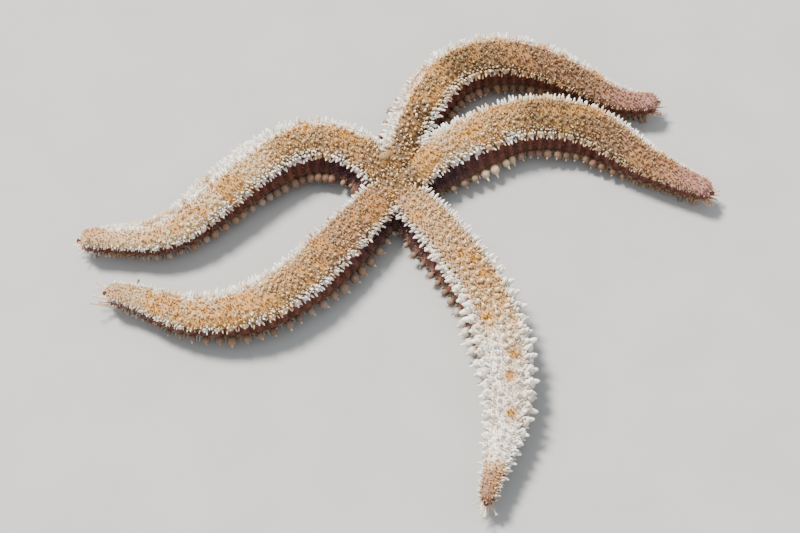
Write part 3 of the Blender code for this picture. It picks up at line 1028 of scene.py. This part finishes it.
def row_places(body, surface, row, rng, per=1.0, shift=0.0, start=7 * MM, until=1.5 * MM,
               jitter=0.07):
    """Roots along one row, so many to a plate, on both sides of every arm."""
    parts = []
    for number, arm in enumerate(body.arms):
        first, last = np.interp((start, arm.length - until), arm.places, arm.plates)
        for side in (-1, 1):
            spots = np.arange(math.ceil(first * per) / per, last, 1 / per) + shift
            spots = spots + rng.normal(0, jitter, len(spots)) / per
            near = arm.place(np.interp(spots, arm.plates, arm.places), side * row[0], row[1])
            spot, way, gap = surface.onto(near)
            mine = (gap < 1.3 * MM) & (body.nearest(spot) == number)
            parts.append(only(mine, spot, way, body.locate(spot, number)))
    return tuple(np.vstack(part) for part in zip(*parts))


class Maker:
    """What every operator starts from."""

    bl_options = {"REGISTER", "UNDO"}

    def begin(self, context, draw):
        """Random numbers of its own, the body and the skin to grow on."""
        if not layout:
            raise RuntimeError("make the skin first")
        rng = np.random.default_rng(context.scene.starfish_sizes.seed + draw)
        return rng, layout["body"], layout["surface"]


class STARFISH_OT_skin(Maker, bpy.types.Operator):
    """Make the one skin that replaces the solid flesh, and lay out what grows on it"""

    bl_idname = "starfish.skin"
    bl_label = "Skin"

    def execute(self, context):
        sizes = context.scene.starfish_sizes
        rng = np.random.default_rng(sizes.seed)
        body = Body(sizes.plate)
        check_arms(body)
        points, faces = joined_skin(body, sizes.voxel)
        points = relaxed(points, faces)
        surface = Surface(points, faces)
        back = back_roots(body, surface, sizes, rng)
        points = raised(body, points, surface.normals, back)
        points = relaxed(points, faces, 1)
        layout.update(body=body, surface=Surface(points, faces), back=back)
        item = mesh_object("skin", points, faces.ravel(), np.arange(len(faces)) * 4,
                           flesh_material("Skin"))
        values = marks_of(body, points, body.locate(points))
        # Painted shade between the walls' plates and a painted highlight on them.
        values.update(reach=np.zeros(len(points)), tone=0.5 + 0.5 * pillars(body, points))
        set_values(item, values)
        set_bake_map(item, skin_map(body, points, faces))
        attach(item, "root")
        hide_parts(*FLESH)
        return {"FINISHED"}


def check_arms(body):
    """Stop if the arms' centre lines here aren't those of the solids."""
    for arm in body.arms:
        low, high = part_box(f"arm_{arm.letter}_tip")
        if not (low.x < arm.x[-1] < high.x and low.y < arm.y[-1] < high.y):
            raise RuntimeError(f"arm {arm.letter} doesn't end where its solid does")


def back_roots(body, surface, sizes, rng):
    """Roots of the back's spines: rows along the arms first, then whatever still fits."""
    rows = []
    for arm in body.arms:
        step = 2.6 * MM
        for side in (-1, 1):
            for share in BACK_ROWS:
                along = np.arange(6 * MM, arm.length - 2 * MM, step)
                along = along + share * 5.2 * MM + (step / 2 if side < 0 else 0)
                along = along + rng.normal(0, 0.30 * MM, len(along))
                along = along[along < arm.length - 1.5 * MM]
                level = np.interp(share, *SECTION[:BACK_POINTS].T)
                across = side * (share + rng.normal(0, 0.022, len(along)))
                rows.append(arm.place(along, across, level))
    rows, _, gap = surface.onto(np.vstack(rows))
    loose, _ = surface.scatter(rng, TRIES["back"])
    places = np.vstack([rows[gap < 0.8 * MM], loose])
    found = body.locate(places)
    back = (np.abs(found[:, AROUND]) < AROUND_UPPER - 0.03) & (found[:, VALLEY] < 0.85)
    places, found = only(back & off_sieve(places, 2.2 * MM), places, found)
    ochre = marks_of(body, places, found)["ochre"]
    gaps = sizes.spine_spacing * (0.55 + 0.45 * size_on_arm(found, 0.7)) * (1 + 0.5 * ochre)
    return places[spaced(places, gaps)]


def sieve_place():
    """The middle of the solid madreporite's top."""
    low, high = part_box("madreporite")
    return np.array([(low.x + high.x) / 2, (low.y + high.y) / 2, high.z])


def off_sieve(places, gap):
    """Which places keep a gap from the madreporite's middle."""
    return np.linalg.norm(places[:, :2] - sieve_place()[:2], axis=1) > gap


def pillars(body, points, found=None):
    """Which points lie on the pillars of the walls, 1, and which between them, -1."""
    found = body.locate(points) if found is None else found
    around = np.abs(found[:, AROUND])
    passed = np.zeros(len(points))
    for number, arm in enumerate(body.arms):
        passed += (found[:, ARM] == number) * np.interp(found[:, ALONG], arm.places, arm.plates)
    wall = between(around, AROUND_UPPER - 0.03, AROUND_UPPER + 0.04, AROUND_LOWER + 0.02,
                   AROUND_LOWER + 0.10)
    return wall * np.cos(2 * math.pi * passed)


def raised(body, points, normals, back):
    """The skin with a mound under each spine, plates along the walls, and valleys."""
    tree = search_tree(back)
    found = body.locate(points)
    gap = np.array([tree.find(point)[2] for point in points])
    size = size_on_arm(found)
    around = np.abs(found[:, AROUND])
    mound = 0.36 * MM * size * np.exp(-(gap / (0.64 * MM)) ** 2)
    plate = 0.48 * MM * size * pillars(body, points, found)
    lumps = 0.16 * MM * (patches(points, 1.3 * MM, 11) - 0.5)
    valley = -0.9 * MM * found[:, VALLEY] * (1 - smooth(around, 0.26, 0.36))
    sieve = sieve_place()
    flat = np.linalg.norm(points[:, :2] - sieve[:2], axis=1)
    seat = np.where(points[:, 2] > 7 * MM, 1 - smooth(flat, 1.3 * MM, 3.4 * MM), 0.0)
    lifted = points + normals * (mound + plate + lumps + valley * (1 - seat))[:, None]
    lifted[:, 2] += seat * np.maximum(sieve[2] - 0.95 * MM - lifted[:, 2], 0.0)
    return lifted


def skin_map(body, points, faces):
    """The skin's own unwrap, one place for each face corner."""
    places = np.zeros((len(faces), 4, 2))
    owner = body.nearest(points[faces].mean(1))
    for number in range(len(body.arms)):
        mine = np.flatnonzero(owner == number)
        used, where = np.unique(faces[mine], return_inverse=True)
        found = body.locate(points[used], number)[where.reshape(-1)]
        around = found[:, AROUND].reshape(-1, 4)
        wraps = around.max(1) - around.min(1) > 1
        around[wraps] += 2 * (around[wraps] < 0)
        found[:, AROUND] = around.ravel()
        places[mine] = bake_place(found).reshape(-1, 4, 2)
    return places.reshape(-1, 2)


# ---------------------------------------------------------------- what grows on the skin

def settle(item, slot="skin", *nodes):
    """Tie a finished piece to the model, once its triangles are counted, and hide the solid parts it
    replaces. The slot is not used.
    """
    if triangles(item) > MOST_TRIANGLES:
        raise RuntimeError(f"{item.name} has too many triangles")
    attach(item, "root")
    if nodes:
        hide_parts(*nodes)


def by_arm(kind, rng, places, ways, found, shape):
    """Make one piece for each arm from the roots that lie on it.

    Shape works out where those point, their lengths, their radii and how they bend.
    """
    for number, letter in enumerate(LETTERS):
        spots, up, where = only(found[:, ARM] == number, places, ways, found)
        grow(kind, spots, where, rng, *shape(spots, up, where), letter=letter)


def directions(body, found):
    """The level directions away from the arm's centre line and towards its tip, at each root."""
    out, ahead = np.empty((2, len(found), 3))
    for number, arm in enumerate(body.arms):
        mine = found[:, ARM] == number
        out[mine] = arm.side(found[mine, ALONG]) * np.sign(found[mine, AROUND])[:, None]
        ahead[mine] = arm.ahead(found[mine, ALONG])
    return out, ahead


class STARFISH_OT_back_spines(Maker, bpy.types.Operator):
    """Make the back's blunt spines and the soft collar round the foot of each"""

    bl_idname = "starfish.back_spines"
    bl_label = "Back spines"

    def execute(self, context):
        sizes = context.scene.starfish_sizes
        rng, body, surface = self.begin(context, 1)
        places, ways, _ = surface.onto(layout["back"])
        found = body.locate(places)

        def spines(spots, up, where):
            marks = marks_of(body, spots, where)
            vary = rng.uniform(0.72, 1.22, len(spots)) * (1 - 0.35 * marks["ochre"])
            wide = vary * size_on_arm(where, 0.9) * (1 + 0.45 * marks["bare"])
            return (up + rng.normal(0, 0.15, up.shape),
                    sizes.spine_length * vary * size_on_arm(where, 0.25),
                    sizes.spine_radius * wide)

        def collars(spots, up, where):
            scale = size_on_arm(where, 0.5) * rng.uniform(0.8, 1.15, len(spots))
            return up, 0.48 * MM * scale, 0.58 * MM * scale

        by_arm("back_spines", rng, places, ways, found, spines)
        by_arm("back_collars", rng, places, ways, found, collars)
        return {"FINISHED"}


class STARFISH_OT_spinelets(Maker, bpy.types.Operator):
    """Make the small spines that fill the gaps between the back's larger ones"""

    bl_idname = "starfish.spinelets"
    bl_label = "Spinelets"

    def execute(self, context):
        sizes = context.scene.starfish_sizes
        rng, body, surface = self.begin(context, 2)
        places, ways = surface.scatter(rng, TRIES["spinelets"])
        found = body.locate(places)
        back = (np.abs(found[:, AROUND]) < AROUND_UPPER + 0.005) & (found[:, VALLEY] < 0.6)
        places, ways, found = only(back & off_sieve(places, 2.0 * MM), places, ways, found)
        marks = marks_of(body, places, found)
        gap = sizes.spinelet_spacing * (1 + 0.7 * marks["ochre"] + 0.5 * marks["bare"])
        places, ways, found = only(spaced(places, gap, layout["back"], 0.85 * MM),
                                   places, ways, found)
        layout["small"] = places

        def spinelets(spots, up, where):
            scale = (0.5 + 0.5 * size_on_arm(where)) * rng.uniform(0.65, 1.25, len(spots))
            return up + rng.normal(0, 0.2, up.shape), 1.0 * MM * scale, 0.22 * MM * scale

        by_arm("spinelets", rng, places, ways, found, spinelets)
        return {"FINISHED"}


class STARFISH_OT_papulae(Maker, bpy.types.Operator):
    """Make the soft finger-like papulae between the spines and on the walls"""

    bl_idname = "starfish.papulae"
    bl_label = "Papulae"

    def execute(self, context):
        sizes = context.scene.starfish_sizes
        rng, body, surface = self.begin(context, 3)
        places, ways = surface.scatter(rng, TRIES["papulae"])
        found = body.locate(places)
        shown = (np.abs(found[:, AROUND]) < AROUND_LOWER - 0.02) & off_sieve(places, 1.9 * MM)
        places, ways, found = only(shown, places, ways, found)
        gap = sizes.papula_spacing * np.where(np.abs(found[:, AROUND]) < AROUND_UPPER, 1.0, 1.5)
        gap *= 1 + 0.6 * marks_of(body, places, found)["bare"]
        taken = np.vstack([layout["back"], layout["small"]])
        places, ways, found = only(spaced(places, gap, taken, 0.5 * MM), places, ways, found)

        def papulae(spots, up, where):
            scale = rng.uniform(0.65, 1.3, len(spots))
            scale *= np.where(np.abs(where[:, AROUND]) < AROUND_UPPER, 1.0, 0.75)
            return (up + rng.normal(0, 0.24, up.shape), sizes.papula_length * scale,
                    0.20 * MM * scale, rng.normal(0, 0.12 * MM, up.shape))

        by_arm("papulae", rng, places, ways, found, papulae)
        return {"FINISHED"}


class STARFISH_OT_upper_row(Maker, bpy.types.Operator):
    """Make the fringe of white spines along the arms' upper edges, in clusters on its plates"""

    bl_idname = "starfish.upper_row"
    bl_label = "Upper marginal spines"

    def execute(self, context):
        rng, body, surface = self.begin(context, 4)
        parts = []
        for shift, row, tall, wide, up, fan in UPPER_SPINES:
            places, ways, found = row_places(body, surface, row, rng, shift=shift)
            out, ahead = directions(body, found)
            lean = unit(out + 0.2 * ways) + np.array([0, 0, up])
            along, large = share_along(found), found[:, ARM] == LARGE
            tuft = smooth(along, 0.25, 0.42) * large
            off = shift - round(shift - 0.01)
            fan = fan * (1 - tuft) - 1.1 * off * tuft
            lean += fan[:, None] * ahead + rng.normal(0, 0.09, lean.shape)
            vary = rng.uniform(0.74, 1.18, len(places))
            near = ways[:, 1] < 0
            vary *= 1 - np.where(near, 0.46, 0.10) * (smooth(along, 0.45, 0.85) * ~large)
            vary *= np.where(near & ~large, 0.84, 1.0)
            vary *= 1 + tuft * (0.25 - 1.3 * abs(off))
            parts.append(only(rng.uniform(size=len(places)) < 0.93, places, ways, found, lean,
                              tall * MM * vary * size_on_arm(found),
                              wide * MM * vary * size_on_arm(found, 0.5)))
        places, ways, found, *shape = (np.concatenate(part) for part in zip(*parts))
        for number, letter in enumerate(LETTERS):
            roots, where, lean, tall, wide = only(found[:, ARM] == number, places, found, *shape)
            grow("upper_spines", roots, where, rng, lean, tall, wide, letter=letter)
        places, ways, found = row_places(body, surface, COLLAR_ROW, rng)
        lean = directions(body, found)[0] + 0.5 * ways
        scale = size_on_arm(found, 0.45) * rng.uniform(0.9, 1.1, len(places))
        along, large = share_along(found), found[:, ARM] == LARGE
        scale *= 1 - 0.3 * smooth(along, 0.45, 0.85) * ~large
        tuft = smooth(along, 0.30, 0.50) * large
        grow("upper_collars", places, found, rng, lean, (0.80 + 0.75 * tuft) * MM * scale,
             1.15 * MM * scale)
        return {"FINISHED"}


class STARFISH_OT_lower_row(Maker, bpy.types.Operator):
    """Make the lower marginal spines, each out of its own round cushion"""

    bl_idname = "starfish.lower_row"
    bl_label = "Lower marginal spines"

    def execute(self, context):
        rng, body, surface = self.begin(context, 5)
        places, ways, found = row_places(body, surface, LOWER_ROW, rng, start=12 * MM, jitter=0.04)
        lean = directions(body, found)[0] + rng.normal(0, 0.05, ways.shape) + [0, 0, -0.08]
        along = share_along(found)
        crowd = 0.5 + 0.5 * smooth(found[:, ALONG], 12 * MM, 22 * MM)
        crowd *= 1.08 - 0.08 * smooth(along, 0.30, 0.45) - 0.36 * smooth(along, 0.60, 0.85)
        crowd *= 1 - 0.28 * (found[:, ARM] == LARGE) * (1 - smooth(along, 0.34, 0.52))
        scale = np.minimum(size_on_arm(found), 1.1) * crowd * rng.uniform(0.84, 1.12, len(places))
        grow("lower_cushions", places, found, rng, lean, 2.35 * MM * scale, 1.26 * MM * scale)
        lean = lean + rng.normal(0, 0.10, ways.shape) + [0, 0, -0.16]
        tall = 3.60 - 0.7 * marks_of(body, places, found)["lower_shade"]
        tall -= 0.75 * (found[:, ARM] == LETTERS.index("C"))    # barely past its cushions there
        grow("lower_spines", places, found, rng, lean, tall * MM * scale, 0.46 * MM * scale)
        return {"FINISHED"}


class STARFISH_OT_groove(Maker, bpy.types.Operator):
    """Make the slender spines beside the grooves and round the mouth"""

    bl_idname = "starfish.groove"
    bl_label = "Groove spines"

    def execute(self, context):
        rng, body, surface = self.begin(context, 6)
        parts = []
        for row, out, drop in GROOVE_ROWS:
            places, _, found = row_places(body, surface, row, rng, 2.9, 0.2 * out, 8 * MM, 3 * MM)
            lean = out * directions(body, found)[0] + np.array([0, 0, drop])
            parts.append((places, lean + rng.normal(0, 0.06, lean.shape), found))
        places, lean, found = (np.vstack(part) for part in zip(*parts))
        scale = size_on_arm(found) * rng.uniform(0.9, 1.1, len(places))
        grow("groove_spines", places, found, rng, lean, 2.3 * MM * scale, 0.24 * MM * scale)
        middle = np.array([*DISC_CENTRE, 1.0 * MM])
        turns = np.sort([np.radians(headings[0]) for _, headings in ARMS.values()])
        corners = (turns + np.append(turns[1:], turns[0] + 2 * math.pi)) / 2
        fan = (corners[:, None] + np.radians((-16, -8, 0, 8, 16))).ravel()
        ring = middle + 6.2 * MM * np.stack([np.cos(fan), np.sin(fan), 0.12 + 0 * fan], axis=1)
        places = surface.onto(ring)[0]
        lean = middle - [0, 0, 1.5 * MM] - places
        grow("mouth_spines", places, body.locate(places), rng, lean, 2.6 * MM, 0.32 * MM)
        return {"FINISHED"}


class STARFISH_OT_tube_feet(Maker, bpy.types.Operator):
    """Make the tube feet in the grooves, those that reach past the edges, and the tips' feelers"""

    bl_idname = "starfish.tube_feet"
    bl_label = "Tube feet"

    def execute(self, context):
        rng, body, surface = self.begin(context, 7)
        parts = []
        for row, shift, out in FOOT_ROWS:
            places, _, found = row_places(body, surface, row, rng, 1.75, shift, 7 * MM, 4 * MM)
            target = places + directions(body, found)[0] * (out * 2.2 * MM)
            target += rng.normal(0, 0.5 * MM, target.shape)
            target[:, 2] = 0.0
            parts.append((places, target - places, found))
        places, reach, found = (np.vstack(part) for part in zip(*parts))
        grow("tube_feet", places, found, rng, reach, np.linalg.norm(reach, axis=1), 0.62 * MM)
        feelers = []
        for number, arm in enumerate(body.arms):
            far = LONG_FEELERS.get(arm.letter, 1.0)
            for across in np.linspace(-0.55, 0.55, 8):
                along = arm.length - (1.0 + 2.2 * abs(across)) * MM
                way = (arm.ahead(along) + across * 1.3 * arm.side(along)
                       + [0, 0, rng.uniform(-0.15, 0.25)])
                feelers.append((number, arm.place(along, across, 0.16),
                                way * far * rng.uniform(1.6, 3.0) * MM,
                                rng.normal(0, 0.5 * MM * far, 3) + [0, 0, 0.3 * MM], 0.36 * MM))
        for letter, share, side in REACHING:
            number = LETTERS.index(letter)
            arm = body.arms[number]
            along = share * arm.length
            narrow = arm.half_width(along) / HALF_WIDTH
            rising = [0, 0, (1.6 + 3.2 * narrow) * MM]
            feelers.append((number, arm.place(along, 0.45 * side, 0.10),
                            arm.side(along) * side * (3.4 + 3.0 * narrow) * MM + [0, 0, 0.8 * MM],
                            arm.ahead(along) * rng.normal(0, 1.2 * MM) + rising, 0.5 * MM))
        numbers, roots, reach, sway, radii = (np.array(part) for part in zip(*feelers))
        grow("feelers", roots, body.locate(roots, numbers), rng, reach,
             np.linalg.norm(reach, axis=1), radii, sway)
        return {"FINISHED"}


def button(name, node_name, relief, material, slot, rooted, size=1.0, rings=36, sides=72):
    """A closed rounded button that fills the box of a solid and some way in, with relief."""
    low, high = (np.array(corner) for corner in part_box(node_name))
    low, high = np.minimum(low, low + rooted), np.maximum(high, high + rooted)
    tilt = np.linspace(0, math.pi, rings + 1)[1:-1, None]
    turn = np.linspace(0, 2 * math.pi, sides, endpoint=False)
    way = np.stack(np.broadcast_arrays(np.sin(tilt) * np.cos(turn), np.sin(tilt) * np.sin(turn),
                                       np.cos(tilt)), axis=-1).reshape(-1, 3)
    way = np.vstack([way, (0, 0, 1), (0, 0, -1)])
    height = relief(way)
    points = (low + high) / 2 + size * (high - low) / 2 * way * (0.86 + 0.14 * height)[:, None]
    top, bottom, last = len(way) - 2, len(way) - 1, (rings - 2) * sides
    faces = []
    for side in range(sides):
        after = (side + 1) % sides
        faces.append((top, side, after))
        faces += [(ring + side, ring + sides + side, ring + sides + after, ring + after)
                  for ring in range(0, last, sides)]
        faces.append((bottom, last + after, last + side))
    item = mesh_object(name, points, *flattened(faces), material)
    set_values(item, {"relief": np.clip(height, 0, 1)})
    settle(item, slot, node_name)


class STARFISH_OT_buttons(Maker, bpy.types.Operator):
    """Make the madreporite with its winding grooves, and the arms' beaded eyespots"""

    bl_idname = "starfish.buttons"
    bl_label = "Madreporite and eyespots"

    def execute(self, context):
        colours = context.scene.starfish_colours
        body = self.begin(context, 8)[1]

        def furrowed(way):
            turn = np.arctan2(way[:, 1], way[:, 0])
            out = np.hypot(way[:, 0], way[:, 1])
            wind = 9 * turn + 2.4 * np.sin(3 * turn + 7 * out) + 1.5 * np.sin(11 * out)
            return smooth(np.abs(np.sin(wind)), 0.15, 0.75) * smooth(out, 0.0, 0.2)

        def beaded(way):
            number = np.arange(90)
            height = 1 - 2 * (number + 0.5) / 90
            turn = number * math.pi * (3 - math.sqrt(5))
            flat = np.sqrt(1 - height ** 2)
            beads = np.stack([flat * np.cos(turn), flat * np.sin(turn), height], axis=1)
            return smooth((way @ beads.T).max(axis=1), 0.972, 0.997)

        # Painted shade in the madreporite's grooves.
        groove = tuple(0.45 * part for part in colours.sieve)
        button("sieve_plate", "madreporite", furrowed,
               button_material("Madreporite", colours.sieve, groove, 1800.0, 0.5), "sieve_plate",
               np.array([0, 0, -0.5 * MM]))
        # Painted shade between the eyespots' beads.
        gap = tuple(0.4 * part for part in colours.eye)
        made = button_material("Eyespot", colours.eye, gap, 3000.0, 0.3)
        for arm in body.arms:
            button(f"eyespot_{arm.letter}", f"eye_{arm.letter}", beaded, made, "eyespot",
                   -1.4 * MM * arm.ahead(arm.length), 0.78, 28, 48)
        return {"FINISHED"}


class STARFISH_OT_stage(Maker, bpy.types.Operator):
    """Make the floor, the lights and the camera"""

    bl_idname = "starfish.stage"
    bl_label = "Stage"

    def execute(self, context):
        colours, scene = context.scene.starfish_colours, context.scene
        mesh = bpy.data.meshes.new("floor")
        built = bmesh.new()
        bmesh.ops.create_circle(built, cap_ends=True, segments=96, radius=FLOOR_RADIUS)
        built.to_mesh(mesh)
        built.free()
        made, tree, shader = shader_material("Floor")
        place = node(tree, "ShaderNodeTexCoord").outputs["Object"]
        shade = rise(tree, noise(tree, place, 40.0, 3.0), 0.3, 0.7, 0.97, 1.03)
        connect(tree, shader, {"Base Color": tinted(tree, colours.floor, shade),
                               "Roughness": 0.7})
        mesh.materials.append(made)
        placed("floor", mesh)
        world = bpy.data.worlds.new("Studio")
        world.use_nodes = True
        world.node_tree.nodes["Background"].inputs["Color"].default_value = (*SKY, 1.0)
        scene.world = world
        data = bpy.data.lights.new("key", "SUN")
        data.energy = SUN_STRENGTH
        data.angle = SUN_WIDTH
        data.color = SUN_COLOUR
        placed("key", data).rotation_euler = Vector(SUN_WAY).to_track_quat("-Z", "Y").to_euler()
        data = bpy.data.cameras.new("camera")
        data.lens = LENS
        data.clip_start = 0.01
        scene.camera = placed("camera", data)
        scene.camera.location = CAMERA_PLACE
        scene.camera.rotation_euler = (CAMERA_TILT, 0, 0)
        return {"FINISHED"}


OPERATORS = (
    STARFISH_OT_skin,
    STARFISH_OT_back_spines,
    STARFISH_OT_spinelets,
    STARFISH_OT_papulae,
    STARFISH_OT_upper_row,
    STARFISH_OT_lower_row,
    STARFISH_OT_groove,
    STARFISH_OT_tube_feet,
    STARFISH_OT_buttons,
    STARFISH_OT_stage,
)


class STARFISH_PT_panel(bpy.types.Panel):
    """Settings and buttons in the 3D view's sidebar"""

    bl_idname = "STARFISH_PT_panel"
    bl_label = "Starfish"
    bl_space_type = "VIEW_3D"
    bl_region_type = "UI"
    bl_category = "Starfish"

    def draw(self, context):
        for group in (context.scene.starfish_sizes, context.scene.starfish_colours):
            box = self.layout.box()
            for name in group.__annotations__:
                box.prop(group, name)
        for operator in OPERATORS:
            self.layout.operator(operator.bl_idname)


CLASSES = (StarfishSizes, StarfishColours, *OPERATORS, STARFISH_PT_panel)


def register():
    for item in CLASSES:
        bpy.utils.register_class(item)
    bpy.types.Scene.starfish_sizes = PointerProperty(type=StarfishSizes)
    bpy.types.Scene.starfish_colours = PointerProperty(type=StarfishColours)


def unregister():
    del bpy.types.Scene.starfish_sizes
    del bpy.types.Scene.starfish_colours
    for item in reversed(CLASSES):
        bpy.utils.unregister_class(item)


def main():
    register()
    for operator in OPERATORS:
        space, name = operator.bl_idname.split(".")
        getattr(getattr(bpy.ops, space), name)()
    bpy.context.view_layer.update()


if __name__ == "__main__":
    main()
